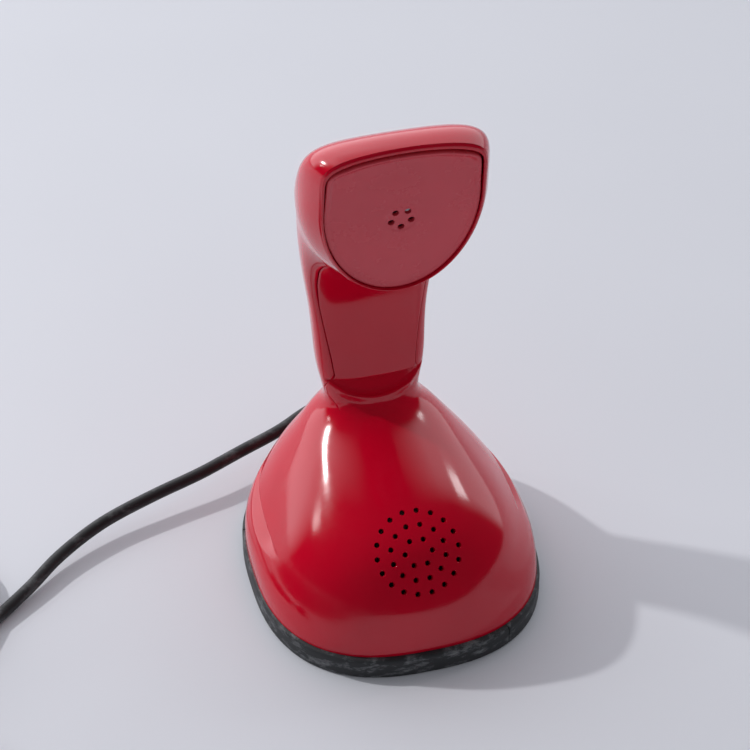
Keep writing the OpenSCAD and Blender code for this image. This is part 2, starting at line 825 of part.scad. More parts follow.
receiver_route = [[0, 1, 179.9], [0, 8, 178.6], [2, 20, 168], [3, 28.5, 152], [3, 33, 132],
    [3, 34.5, 110], [3, 33, 92], [5, 31, 77], [9.5, 32, 62], [15, 35, 50], [19.5, 38.5, 41],
    [20.5, 39, 33.3]];
module receiver_lead() {
    color([0.5, 0.3, 0.3]) tube_along(smooth_route(receiver_route, 2), 1.2, 8, [1, 0, 0]);
}

// ---------- line cord ----------

module strain_relief() {
    color([0.1, 0.1, 0.1]) translate([0, boot_y, exit_z]) rotate([90, 0, 0]) {
        cylinder(r1 = cord_r + 0.5, r2 = 4.3, h = 12);
        translate([0, 0, 12]) cylinder(r = 4.3, h = 4.5);
        translate([0, 0, 16.5]) cylinder(r = 5.1, h = 2.5);
    }
}

module line_cord() {
    color([0.12, 0.12, 0.12]) {
        tube_along(smooth_route(cord_route, 2), cord_r, 10, [0, 0, 1]);
        tube_along(tail_route, cord_r, 10, [0, 0, 1]);
    }
}

module cord_coil() {
    color([0.14, 0.14, 0.14]) translate([coil_at[0], coil_at[1], 0]) rotate_extrude($fn = 64)
        translate([coil_in, 0]) square([coil_out - coil_in, coil_h]);
}

module cord_tie() {
    band = 1.2;
    color([0.3, 0.3, 0.3]) translate([coil_at[0], coil_at[1], 0]) rotate(tie_dir) difference() {
        translate([coil_in - band, -4, 0]) cube([coil_out - coil_in + 2 * band, 8, coil_h + band]);
        translate([0, 0, -eps]) rotate_extrude($fn = 64)
            translate([coil_in - 0.1, 0]) square([coil_out - coil_in + 0.2, coil_h + 0.1]);
    }
}

module plug_body() {
    color([0.13, 0.13, 0.13]) translate([plug_at[0], plug_at[1] - plug_l, 0]) {
        translate([-12, 0, 0]) cube([24, 20, 16]);
        translate([0, plug_l, plug_at[2]]) rotate([90, 0, 0])
            cylinder(r1 = 4, r2 = 7.5, h = plug_l - 20);
    }
}

module plug_pins() {
    color([0.8, 0.7, 0.4]) for (x = [-6.5, 6.5]) for (z = [-3.5, 3.5])
        translate(plug_at + [x, -plug_l, z]) rotate([90, 0, 0]) cylinder(r = 1.6, h = 13);
}

main_shell();
neck_panel();
receiver_cap();
foot_band_front();
foot_band_rear();
base_plate();
base_screws();
dial_frame();
dial_screws();
dial_bearing();
number_ring();
finger_stop();
finger_wheel();
wheel_screws();
dial_hub();
main_gear();
main_spring();
pulse_shaft();
pulse_pinion();
pulse_cam();
pulse_gear();
governor_shaft();
governor_pinion();
governor_rotor();
governor_cup();
mechanism_bridge();
bridge_pillars();
pulse_contact_block();
pulse_contacts();
line_button();
button_stem();
stem_clip();
button_spring();
switch_bracket();
switch_lever();
lever_pin();
switch_stack();
switch_contacts();
component_deck();
deck_pillars();
coil_core();
coil_winding();
capacitor();
terminal_block();
terminal_screws();
transmitter_capsule();
transmitter_gasket();
transmitter_holder();
transmitter_lead();
receiver_capsule();
receiver_gasket();
receiver_clamp();
receiver_lead();
strain_relief();
line_cord();
cord_coil();
cord_tie();
plug_body();
plug_pins();
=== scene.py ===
"""One-piece upright telephone: the visual model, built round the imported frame.

The shell's curves are worked out in millimetres and turned into metres when a mesh is made.
"""

import json
import math

import bmesh
import bpy
import numpy as np
from mathutils import Matrix, Vector


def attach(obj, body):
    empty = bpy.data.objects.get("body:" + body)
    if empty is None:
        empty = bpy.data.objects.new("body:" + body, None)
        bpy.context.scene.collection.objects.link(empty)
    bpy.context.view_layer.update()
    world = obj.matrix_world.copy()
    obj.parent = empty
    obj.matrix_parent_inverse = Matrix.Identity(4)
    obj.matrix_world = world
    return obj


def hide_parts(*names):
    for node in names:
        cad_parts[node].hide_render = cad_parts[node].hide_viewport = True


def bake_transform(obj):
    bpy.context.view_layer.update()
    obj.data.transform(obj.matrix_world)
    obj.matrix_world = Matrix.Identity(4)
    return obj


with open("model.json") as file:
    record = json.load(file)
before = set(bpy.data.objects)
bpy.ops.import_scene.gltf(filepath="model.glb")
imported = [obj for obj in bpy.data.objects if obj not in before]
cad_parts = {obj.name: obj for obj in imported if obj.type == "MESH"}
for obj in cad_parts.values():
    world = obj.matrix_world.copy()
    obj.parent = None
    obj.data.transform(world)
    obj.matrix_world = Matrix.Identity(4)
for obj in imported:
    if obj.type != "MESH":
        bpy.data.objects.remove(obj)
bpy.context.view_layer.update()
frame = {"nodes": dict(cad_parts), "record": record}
nodes = frame["nodes"]
MM = 0.001
scene = bpy.context.scene


# ---------------------------------------------------------------- camera

camera = bpy.data.objects.new("camera", bpy.data.cameras.new("camera"))
scene.collection.objects.link(camera)
camera.location = (-0.190335, -0.696952, 0.719629)
camera.rotation_euler = (math.radians(49.2045), 0, math.radians(-14.8225))
camera.data.lens = 124.865
camera.data.sensor_width = 36
scene.camera = camera
scene.view_settings.view_transform = "Standard"


# ---------------------------------------------------------------- helpers


def mesh_object(name, verts, faces, unit=MM, sharp=35):
    """A smooth-shaded mesh with creases at its sharp edges."""
    mesh = bpy.data.meshes.new(name)
    mesh.from_pydata([tuple(float(c) * unit for c in v) for v in verts], [], faces)
    mesh.validate()
    mesh.update()
    obj = bpy.data.objects.new(name, mesh)
    scene.collection.objects.link(obj)
    finish_mesh(obj, sharp)
    return obj


def finish_mesh(obj, sharp=35):
    """Consistent outward normals and smooth shading."""
    bm = bmesh.new()
    bm.from_mesh(obj.data)
    bmesh.ops.recalc_face_normals(bm, faces=bm.faces)
    bm.to_mesh(obj.data)
    bm.free()
    obj.data.shade_smooth()
    obj.data.set_sharp_from_angle(angle=math.radians(sharp))


def apply_modifiers(obj):
    """Bakes an object's modifiers into its mesh."""
    graph = bpy.context.evaluated_depsgraph_get()
    graph.update()
    made = bpy.data.meshes.new_from_object(obj.evaluated_get(graph))
    obj.modifiers.clear()
    obj.data = made


def cut(obj, cutter, solver="EXACT"):
    """Takes the cutter out of the object and deletes it."""
    mod = obj.modifiers.new("cut", "BOOLEAN")
    mod.operation = "DIFFERENCE"
    mod.object = cutter
    mod.solver = solver
    bpy.context.view_layer.update()
    apply_modifiers(obj)
    bpy.data.objects.remove(cutter)


def smooth_step(low, high, x):
    f = np.clip((np.asarray(x, float) - low) / (high - low), 0, 1)
    return f * f * (3 - 2 * f)


def catmull(points, cuts):
    """A smooth route through given points."""
    p = [np.array(q, float) for q in points]
    out = []
    for i in range(len(p) - 1):
        a, b, c, d = p[max(i - 1, 0)], p[i], p[i + 1], p[min(i + 2, len(p) - 1)]
        for j in range(cuts):
            f = j / cuts
            out.append(
                0.5
                * (
                    2 * b
                    + (c - a) * f
                    + (2 * a - 5 * b + 4 * c - d) * f * f
                    + (3 * b - a - 3 * c + d) * f * f * f
                )
            )
    return out + [p[-1]]


# ---------------------------------------------------------------- line cord

CORD_D = 5.0
CORD_ROUTE = [
    (0, 70, 14), (-1.4, 75.2, 13.9), (-5.2, 79, 13.8), (-10.5, 80, 13.6), (-16, 78, 13.2),
    (-28, 71.5, 12.3), (-45, 64.5, 11.5), (-63, 57, 10.6), (-85, 50, 9.2), (-106, 42, 7.4),
    (-124.5, 30.5, 5.4), (-138.5, 18, 3.8), (-152, 7, 2.8), (-162, -1, 2.5), (-170.6, -7.3, 2.5),
]
TAIL_ROUTE = [
    (-175.3, -10.5, 7.5), (-181.5, -14.8, 7.6), (-186.6, -20.6, 7.8), (-189.4, -28, 8),
    (-190, -36, 8),
]
COIL_AT = (-194, 22)
COIL_OUT, COIL_IN = 37.5, 17.5
COIL_START = -51.3
COIL_TURNS = 9 + 8.8 / 360


def coil_points():
    """Flat turns inwards on the table, up one diameter, and outwards on top."""
    half = COIL_TURNS / 2
    steps = int(COIL_TURNS * 30)
    out = []
    for i in range(1, steps):
        turn = COIL_TURNS * i / steps
        off = min(abs(turn - half), 4.0)
        radius = COIL_IN + (COIL_OUT - COIL_IN) * off / 4
        lift = float(smooth_step(half - 0.35, half + 0.35, turn))
        angle = math.radians(COIL_START - 360 * turn)
        out.append(
            (
                COIL_AT[0] + radius * math.cos(angle),
                COIL_AT[1] + radius * math.sin(angle),
                CORD_D / 2 + CORD_D * lift,
            )
        )
    return out


def cord_curve():
    points = catmull(CORD_ROUTE, 6) + coil_points() + catmull(TAIL_ROUTE, 6)
    curve = bpy.data.curves.new("cord", "CURVE")
    curve.dimensions = "3D"
    curve.bevel_depth = 1
    curve.bevel_resolution = 5
    curve.use_fill_caps = True
    line = curve.splines.new("POLY")
    line.points.add(len(points) - 1)
    for p, q in zip(line.points, points):
        p.co = (q[0] * MM, q[1] * MM, q[2] * MM, 1)
        p.radius = CORD_D / 2 * MM
    line.use_smooth = True
    obj = bpy.data.objects.new("cord", curve)
    scene.collection.objects.link(obj)
    length = sum(
        math.dist(points[i], points[i + 1]) for i in range(len(points) - 1)
    )
    return obj, length * MM


cord, cord_length = cord_curve()
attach(cord, "phone")
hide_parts("line_cord", "cord_coil")


# ---------------------------------------------------------------- the shell's curves

BAND_W, BAND_D = 111.0, 121.0
SPINE = np.array(
    [
        # middle y, middle z, tilt, half width, reach forward and back, roundness forward and back
        [0, 2, 0, BAND_W / 2 - 1, BAND_D / 2 - 2.5, BAND_D / 2 - 2, 2.6, 2.5],
        [0, 10, 0, BAND_W / 2 - 1, BAND_D / 2 - 2.5, BAND_D / 2 - 2, 2.6, 2.5],
        [0.5, 19.5, 0, 54.6, 56, 58.5, 2.35, 2.4],
        [3, 28.5, 0, 47.8, 55.4, 56.5, 2.45, 2.4],
        [8, 38, 0, 41.4, 54, 49.5, 3.1, 2.3],
        [13, 48, 0, 33.3, 52.3, 38.5, 2.2, 2.3],
        [21, 56, 0, 26.4, 39, 28, 2, 2.2],
        [25.5, 61, 0, 20.6, 25, 20.5, 1.8, 2.1],
        [28, 65, 0, 18.2, 15.5, 17.2, 1.8, 2.1],
        [29.5, 70, 0, 18.4, 12.2, 16.5, 2.3, 2.1],
        [31.5, 81, 0, 21.2, 10.5, 14.5, 3.4, 2.1],
        [34.5, 101.5, 3, 21.5, 9.5, 13.5, 3.8, 2.1],
        [35, 122, 12, 24.5, 10, 13.5, 3.8, 2.1],
        [30.5, 142.5, 30, 27, 14, 14, 3, 2.1],
        [21, 162, 54, 29, 23, 16, 2.2, 2.5],
        [5.5, 177.5, 80, 33.5, 36, 20, 2, 3.4],
        [-7, 185.5, 93, 33.5, 42, 27.5, 2, 4.2],
        [-16, 186.5, 97, 29, 42.5, 25, 2, 4.6],
    ]
)
FACE_T = len(SPINE) - 1
FACE = SPINE[-1]
WALL = 2.8
# How much less the head reaches back at the ends of its top edge, and its corners' roundness
BOW = 0.16
CORNER = 7.5


def row_at(t):
    """The spine's row at place t, on a smooth curve through the rows."""
    last = len(SPINE) - 1
    i = int(min(max(math.floor(t), 0), last - 1))
    f = t - i
    before = SPINE[i - 1] if i > 0 else 2 * SPINE[0] - SPINE[1]
    after = SPINE[i + 2] if i < last - 1 else 2 * SPINE[last] - SPINE[last - 1]
    return (
        before * (1 - f) ** 3
        + SPINE[i] * (3 * f**3 - 6 * f**2 + 4)
        + SPINE[i + 1] * (-3 * f**3 + 3 * f**2 + 3 * f + 1)
        + after * f**3
    ) / 6


def plane_ring(row, angles, inset=0.0):
    """The ring's outline in its own plane: across, and towards the front."""
    c, s = np.cos(angles), np.sin(angles)
    bow = float(smooth_step(3.4, 4.5, row[7]))
    n = np.where(c >= 0, row[6], row[7] + bow * (CORNER - row[7]))
    d = np.where(c >= 0, row[4], row[5]) - inset
    q = (np.abs(c) ** n + np.abs(s) ** n) ** (-1 / n)
    back = np.where(c < 0, BOW * bow * (s * q) ** 2, 0)
    return (row[3] - inset) * s * q, d * c * q * (1 - back)


def place(row, across, ahead, out=0.0):
    """Points of a ring's plane in the row frame; out is along its normal."""
    tilt = math.radians(row[2])
    y = row[0] - math.cos(tilt) * ahead - math.sin(tilt) * out
    z = row[1] - math.sin(tilt) * ahead + math.cos(tilt) * out
    return np.stack([across + 0 * y, y, z], -1)


def ring(t, angles, inset=0.0):
    row = row_at(t)
    return place(row, *plane_ring(row, angles, inset))


def front_height(t):
    """Height of the front middle of the ring at t."""
    return ring(t, np.array([0.0]))[0, 2]


def t_at_height(z, low=0.0, high=13.8):
    """Place on the spine whose front middle is at height z."""
    for _ in range(50):
        mid = (low + high) / 2
        if front_height(mid) < z:
            low = mid
        else:
            high = mid
    return (low + high) / 2


# Half width of the panel's seam, and of the crease below it, by height at the front
SEAM_Z = [
    62, 66, 67.5, 69, 70.2, 71.5, 75, 78.2, 79.2,
    80.5, 87, 97.5, 111, 122, 131, 135, 137.5, 142,
]
SEAM_X = [
    13, 14.5, 15.8, 17, 18.4, 18.9, 18.6, 17.3, 16.2,
    15.8, 16.5, 18.1, 20.2, 21.2, 21.1, 20, 17, 16,
]
PANEL_LOW, PANEL_HIGH = 78.6, 137.5
# Distance from a seam's middle, and depth there
GROOVE_OFF = (0.07, 0.16, 0.38)
GROOVE_DEEP = (0.9, 0.25, 0.03)
# Columns on the panel and behind the seam, on each side, and rings on the panel
NF, NB = 30, 52
PANEL_ROWS = 44
# Grip scoop: where it starts, its length, the height of its upper edge, its reach and depth
GRIP_FROM, GRIP_L = -12, 62
GRIP_Z, GRIP_UP, GRIP_DOWN = 27.8, 0.8, 5
GRIP_DEEP = 2.4
# Scoop below the panel: its lower edge, how much that rises at 17 mm from the middle, its depth,
# and the ridge under it
CHIN_Z, CHIN_RISE, CHIN_DEEP, CHIN_RIDGE = 71.4, 4.6, 1.8, 0.95


def seam_angle(t):
    """Direction of the seam on the ring at t, and the ring's speed there in mm per radian."""
    angles = np.linspace(0, math.pi / 2, 400)
    points = ring(t, angles)
    row = row_at(t)
    z = front_height(t)
    half = min(np.interp(z, SEAM_Z, SEAM_X), 0.985 * row[3])
    a = float(np.interp(half, points[:, 0], angles))
    k = min(max(int(a / angles[1]), 1), 398)
    speed = np.linalg.norm(points[k + 1] - points[k - 1]) / (2 * angles[1])
    return a, speed


def ring_angles(t):
    """Columns of the ring at t, the same number on every ring, close together at the seam."""
    a, speed = seam_angle(t)
    off = [o / speed for o in GROOVE_OFF]
    front = np.linspace(0, a - off[2], NF)
    back = np.linspace(a + off[2], math.pi, NB)
    seam = [a - off[1], a - off[0], a + off[0], a + off[1]]
    right = np.concatenate([front, seam, back])
    left = -right[1:-1][::-1]
    return np.concatenate([right, left])


COLS_RIGHT = NF + 4 + NB
SEAM_COL = NF + 1  # the last column on the panel's side
N_COLS = 2 * COLS_RIGHT - 2


def ring_places():
    """Places of the rings, close together at the features, with the panel's edges marked."""
    heights = list(np.linspace(9.2, 22.5, 12)) + list(np.linspace(22.5, 31, 36)[1:])
    heights += list(np.linspace(31, 68, 40)[1:])
    heights += list(np.linspace(68, PANEL_LOW - 0.5, 38)[1:])
    edge_low = [PANEL_LOW - o for o in reversed(GROOVE_OFF)]
    edge_low += [PANEL_LOW + o for o in GROOVE_OFF]
    heights = [8.6] + heights + edge_low
    heights += list(np.linspace(PANEL_LOW + 1, PANEL_HIGH - 1, PANEL_ROWS))
    edge_high = [PANEL_HIGH - o for o in reversed(GROOVE_OFF)]
    edge_high += [PANEL_HIGH + o for o in GROOVE_OFF]
    ts = [t_at_height(z) for z in heights + edge_high]
    low = len(heights) - PANEL_ROWS - len(GROOVE_OFF)
    high = len(heights) + len(GROOVE_OFF)
    ts += list(np.linspace(ts[-1] + 0.06, FACE_T - 0.08, 66))
    return np.array(ts), low, high


def lip_width(angles):
    """Width of the rim round the cap: widest along the top."""
    up = smooth_step(0.6, 0.8, -np.cos(angles))
    side = smooth_step(-0.6, 0.6, -np.cos(angles))
    return 0.75 + 0.35 * side + 1.2 * up


def gap_width(angles):
    """Width of the groove between the rim and the cap."""
    return 0.2 + 0.4 * smooth_step(-0.5, 0.5, -np.cos(angles)) + 0.7 * smooth_step(
        0.6, 0.8, -np.cos(angles)
    )


def grid_normals(grid):
    along = np.gradient(grid, axis=0)
    round_ = np.roll(grid, -1, 1) - np.roll(grid, 1, 1)
    n = np.cross(round_, along)
    n /= np.linalg.norm(n, axis=2, keepdims=True) + 1e-9
    outward = grid - grid.mean(axis=1, keepdims=True)
    if (n * outward).sum() < 0:
        n = -n
    return n


def grip_depth(p):
    """Leaf-shaped scoop in each flank, sharp along its upper edge."""
    s = np.clip((p[..., 1] - GRIP_FROM) / GRIP_L, 0, 1)
    up = GRIP_Z + GRIP_UP * np.sin(np.pi * s**0.7)
    low = GRIP_Z - GRIP_DOWN * np.sin(np.pi * s**0.6)
    v = (p[..., 2] - low) / np.maximum(up - low, 0.05)
    across = np.clip(v, 0, 1) * (1 - smooth_step(0.92, 1.02, v))
    ends = smooth_step(0, 0.2, s) * (1 - smooth_step(0.7, 1, s))
    flank = smooth_step(20, 30, np.abs(p[..., 0]))
    return GRIP_DEEP * across * ends * flank


def chin_depth(p):
    """Scoop below the panel, deepest right under its lower edge."""
    x = np.abs(p[..., 0])
    arc = CHIN_Z + CHIN_RISE * (x / 17) ** 2
    f = np.clip((p[..., 2] - arc) / np.maximum(PANEL_LOW - arc, 0.3), 0, 1)
    in_front = (p[..., 1] < 27.5) & (p[..., 2] < PANEL_LOW + 0.001)
    left = 1 - smooth_step(17.2, 19.4, x)
    right = 1 - 0.3 * smooth_step(15, 17, x)
    side = np.where(p[..., 0] < 0, left, right)
    depth = CHIN_DEEP * smooth_step(0, 0.35, f) * (0.55 + 0.45 * f)
    below = (p[..., 0] > 0) & (p[..., 2] < PANEL_LOW)
    scoop = np.where(in_front | below, depth * side, 0)
    ridge = smooth_step(arc - 3.6, arc + 0.1, p[..., 2]) * (1 - smooth_step(0, 0.12, f))
    ridge = CHIN_RIDGE * ridge * (1 - smooth_step(12, 17.5, x))
    return scoop - np.where(in_front, ridge, 0)


def shell_grids():
    ts, low, high = ring_places()
    outer = np.array([ring(t, ring_angles(t)) for t in ts])
    normals = grid_normals(outer)
    depth = grip_depth(outer) + chin_depth(outer)
    # the seam down both sides of the panel, and the crease that goes on below it
    z = outer[:, 0, 2]
    strength = np.where((z > 66) & (z < PANEL_LOW), 0.45 * smooth_step(65.5, 68.5, z), 0)
    strength[low : high + 1] = 1
    for k, d in zip((0, 1, 2), GROOVE_DEEP):
        for col in (SEAM_COL - k, SEAM_COL + 1 + k):
            left = (N_COLS - col) % N_COLS
            depth[:, left] = np.maximum(depth[:, left], d * strength)
            depth[:, col] = np.maximum(depth[:, col], 0.25 * d * (strength == 1))
    # the panel's top and bottom edges
    for c in list(range(SEAM_COL + 1)) + list(range(N_COLS - SEAM_COL, N_COLS)):
        for k, d in zip((0, 1, 2), GROOVE_DEEP):
            depth[low + k, c] = max(depth[low + k, c], d)
            depth[high - k, c] = max(depth[high - k, c], d)
            depth[high + 1 + k, c] = max(depth[high + 1 + k, c], d)
    shaped = outer - normals * depth[..., None]
    wall = np.interp(ts, [0, 14.5, FACE_T], [WALL, WALL, 0])[:, None]
    rim = lip_width(ring_angles(FACE_T)) + 0.02
    wall = wall + np.interp(ts, [14.5, FACE_T], [0, 1])[:, None] * rim[None, :]
    inner = outer - normals * wall[..., None]
    return low, high, shaped, inner


def rim_rings():
    """The rounded rim, from the outside over its lip and down the inside."""
    angles = ring_angles(FACE_T)
    lip = lip_width(angles)
    out, back = 0.5 * lip, 0.3 * lip
    steps = [
        (0 * lip, -out), (0.08 * out, -0.6 * out), (0.3 * out, -0.28 * out),
        (0.62 * out, -0.08 * out), (out, 0 * lip), (lip - back, 0 * lip),
        (lip - 0.55 * back, -0.1 * back),
        (lip - 0.12 * back, -0.45 * back), (lip, -back), (lip, -1.5 + 0 * lip),
    ]
    rings = []
    for inset, level in steps:
        across, ahead = [], []
        for a, u in zip(angles, inset):
            x, d = plane_ring(FACE, np.array([a]), u)
            across.append(x[0])
            ahead.append(d[0])
        rings.append(place(FACE, np.array(across), np.array(ahead), level))
    return np.array(rings)


def strip_faces(first, second, n, wrap=True):
    """Quads between two rows of vertex numbers."""
    last = n if wrap else n - 1
    return [
        (first + j, first + (j + 1) % n, second + (j + 1) % n, second + j) for j in range(last)
    ]


def build_shell():
    low, high, outer, inner = shell_grids()
    rings = np.concatenate([outer, rim_rings(), inner[::-1]])
    n_rings, n = rings.shape[:2]
    n_out = len(outer)
    first_inner = n_rings - len(inner)

    faces = []
    for i in range(n_rings - 1):
        for j in range(n):
            source = i if i < n_out else (n_rings - 2 - i if i >= first_inner else -1)
            if source >= 0 and in_panel_quad(source, j, low, high):
                continue
            a, b = i * n + j, i * n + (j + 1) % n
            faces.append((a, b, b + n, a + n))
    # foot edge
    for j in range(n):
        k = (j + 1) % n
        faces.append((j, (n_rings - 1) * n + j, (n_rings - 1) * n + k, k))
    # walls of the panel's opening
    def inner_index(i):
        return n_rings - 1 - i

    ring_low, ring_high = low - 1, high + 1
    cols = list(range(N_COLS - SEAM_COL - 1, N_COLS)) + list(range(0, SEAM_COL + 2))
    loop = [(ring_low, c) for c in cols]
    loop += [(r, cols[-1]) for r in range(ring_low + 1, ring_high + 1)]
    loop += [(ring_high, c) for c in reversed(cols[:-1])]
    loop += [(r, cols[0]) for r in range(ring_high - 1, ring_low, -1)]
    for k in range(len(loop)):
        (r0, c0), (r1, c1) = loop[k], loop[(k + 1) % len(loop)]
        faces.append(
            (
                r0 * n + c0,
                r1 * n + c1,
                inner_index(r1) * n + c1,
                inner_index(r0) * n + c0,
            )
        )
    verts = rings.reshape(-1, 3)
    return mesh_object("shell", verts, faces, sharp=50), (low, high, outer, inner)


def in_panel_quad(i, j, low, high):
    """True if the quad after ring i and column j lies over the panel or its gap."""
    side = j <= SEAM_COL or j >= N_COLS - SEAM_COL - 1
    return low - 1 <= i <= high and side


def build_panel(grids):
    low, high, outer, inner = grids
    cols = list(range(N_COLS - SEAM_COL, N_COLS)) + list(range(0, SEAM_COL + 1))
    rows = list(range(low, high + 1))
    top = outer[np.ix_(rows, cols)]
    under = top + (inner[np.ix_(rows, cols)] - top) * 0.8
    nr, nc = len(rows), len(cols)
    verts = np.concatenate([top.reshape(-1, 3), under.reshape(-1, 3)])
    m = nr * nc
    faces = []
    for i in range(nr - 1):
        for j in range(nc - 1):
            a = i * nc + j
            faces.append((a, a + 1, a + nc + 1, a + nc))
            faces.append((m + a, m + a + nc, m + a + nc + 1, m + a + 1))
    edge = [j for j in range(nc)] + [i * nc + nc - 1 for i in range(1, nr)]
    edge += [(nr - 1) * nc + j for j in range(nc - 2, -1, -1)]
    edge += [i * nc for i in range(nr - 2, 0, -1)]
    for k in range(len(edge)):
        a, b = edge[k], edge[(k + 1) % len(edge)]
        faces.append((a, b, m + b, m + a))
    return mesh_object("panel", verts, faces, sharp=50)


# ---------------------------------------------------------------- receiver cap

# The cap's face: its holes' middle towards the front, their ring, and the shallow dish round them
EAR_DROP = 8.9
EAR_RING = 3.75
EAR_DISH = 7.2


def build_cap():
    angles = np.linspace(0, 2 * math.pi, 240, endpoint=False)
    edge = lip_width(angles) + gap_width(angles)
    crest = 0.3 + 0.75 * smooth_step(-0.2, 0.75, -np.cos(angles))

    def outline(inset):
        pairs = [plane_ring(FACE, np.array([a]), u) for a, u in zip(angles, inset)]
        return np.array([p[0][0] for p in pairs]), np.array([p[1][0] for p in pairs])

    base = -1.35
    profile = [
        (edge, -3.2 + 0 * edge), (edge, base - 0.1 + 0 * edge),
        (edge + 0.05, base + 0.45 * crest), (edge + 0.22, base + 0.82 * crest),
        (edge + 0.5, base + 0.97 * crest), (edge + 0.8, base + crest),
        (edge + 1.1, base + 0.95 * crest), (edge + 1.45, base + 0.75 * crest),
        (edge + 1.8, base + 0.42 * crest), (edge + 2.2, base + 0.14 * crest),
        (edge + 2.7, base + 0.03 * crest), (edge + 3.4, base + 0 * edge),
    ]
    rings = []
    for inset, level in profile:
        across, ahead = outline(inset)
        rings.append((across, ahead, level))
    rim = rings[-1]
    circle = np.stack([np.sin(angles), np.cos(angles)])
    for f in (0.25, 0.5, 0.75, 1.0):
        across = rim[0] * (1 - f) + EAR_DISH * circle[0] * f
        ahead = rim[1] * (1 - f) + (EAR_DROP + EAR_DISH * circle[1]) * f
        rings.append((across, ahead, base - 0.12 * f + 0 * edge))
    for radius, level in (
        (6.2, -1.48), (5.7, -1.52), (5.4, -1.66), (5.0, -1.7), (2.5, -1.7), (0.6, -1.7),
    ):
        ahead = EAR_DROP + radius * circle[1]
        rings.append((radius * circle[0], ahead, level + 0 * edge))
    grid = np.array([place(FACE, a, d, w) for a, d, w in rings])
    n = len(angles)
    verts = list(grid.reshape(-1, 3))
    faces = []
    for i in range(len(rings) - 1):
        faces += strip_faces(i * n, (i + 1) * n, n)
    faces.append(tuple(range((len(rings) - 1) * n, len(rings) * n)))
    faces.append(tuple(range(n - 1, -1, -1)))
    cap = mesh_object("cap", verts, faces, sharp=60)
    holes = []
    for i in range(5):
        a = math.radians(180 + 72 * i)
        across = EAR_RING * math.sin(a)
        ahead = EAR_DROP - EAR_RING * math.cos(a)
        holes.append(place(FACE, np.array([across]), np.array([ahead]), -1.6)[0])
    tilt = math.radians(FACE[2])
    out = (0, -math.sin(tilt), math.cos(tilt))
    cut(cap, hole_cutters("ear_cutters", [(p, out) for p in holes], 1.2, 4))
    finish_mesh(cap, 40)
    return cap


def hole_cutters(name, places, radius, depth, flare=0.22):
    """Round drills with a small countersink, each at a point and along its own direction."""
    verts, faces = [], []
    sides = 24
    levels = [(3, radius + flare), (0.02, radius + flare), (-flare, radius), (-depth, radius)]
    for p, direction in places:
        axis = Vector(direction).normalized()
        u = axis.orthogonal().normalized()
        v = axis.cross(u)
        start = len(verts)
        for level, r in levels:
            for k in range(sides):
                a = 2 * math.pi * k / sides
                verts.append(Vector(p) + axis * level + (u * math.cos(a) + v * math.sin(a)) * r)
        for i in range(len(levels) - 1):
            faces += strip_faces(start + i * sides, start + (i + 1) * sides, sides)
        faces.append(tuple(start + k for k in range(sides)))
        end = start + (len(levels) - 1) * sides
        faces.append(tuple(end + k for k in range(sides - 1, -1, -1)))
    return mesh_object(name, verts, faces)


# ---------------------------------------------------------------- transmitter holes

# Middle of the rings of holes, the slope of their face, and their pitch
MIC_AT = np.array([0, -41.2, 44.2])
MIC_TILT = 47
MIC_RING = 5.2


def surface_hit(start, direction):
    """Where a line from outside meets the smooth shell, and the normal there."""
    ts = np.linspace(2.2, 6.2, 240)
    angles = np.radians(np.linspace(-60, 60, 361))
    grid = np.array([ring(t, angles) for t in ts])
    flat = grid.reshape(-1, 3)
    rel = flat - start
    along = rel @ direction
    off = np.linalg.norm(rel - along[:, None] * direction, axis=1)
    k = int(off.argmin())
    i, j = divmod(k, len(angles))
    i = min(max(i, 1), len(ts) - 2)
    j = min(max(j, 1), len(angles) - 2)
    n = np.cross(grid[i, j + 1] - grid[i, j - 1], grid[i + 1, j] - grid[i - 1, j])
    n /= np.linalg.norm(n)
    if n @ direction > 0:
        n = -n
    on_line = start + direction * (rel[k] @ direction)
    return on_line, n


def mic_holes():
    tilt = math.radians(MIC_TILT)
    normal = np.array([0, -math.sin(tilt), math.cos(tilt)])
    up = np.array([0, math.cos(tilt), math.sin(tilt)])
    right = np.array([1.0, 0, 0])
    out = []
    for k in (1, 2, 3):
        for i in range(6 * k):
            a = math.radians((i + 0.5) * 60 / k)
            p = MIC_AT + MIC_RING * k * (math.sin(a) * right + math.cos(a) * up)
            on_line, n = surface_hit(p + normal * 20, -normal)
            out.append((on_line, tuple(n * 0.4 + normal * 0.6)))
    return out


shell, grids = build_shell()
panel = build_panel(grids)
cap = build_cap()
cut(shell, hole_cutters("mic_cutters", mic_holes(), 1.0, 7))
finish_mesh(shell, 50)
cord_hole = hole_cutters("cord_cutter", [((0, 58.5, 14), (0, 1, 0))], 4.6, 8, 0.3)
cut(shell, cord_hole)
finish_mesh(shell, 50)

for piece, node, slot in (
    (shell, "main_shell", "shell_red"),
    (panel, "neck_panel", "shell_red"),
    (cap, "receiver_cap", "cap_red"),
):
    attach(piece, "phone")
    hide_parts(node)


# ---------------------------------------------------------------- foot band

# Directions of the two joins, and half the gap there, in degrees; the outline's roundness
BAND_LEFT, BAND_RIGHT = -112.0, 33.0
BAND_GAP = 0.25
BAND_ROUND = 2.55


def band_point(angle, inset, z):
    a = math.radians(angle)
    c, s = math.cos(a), math.sin(a)
    q = (abs(c) ** BAND_ROUND + abs(s) ** BAND_ROUND) ** (-1 / BAND_ROUND)
    return ((BAND_W / 2 - inset) * s * q, -(BAND_D / 2 - inset) * c * q, z)


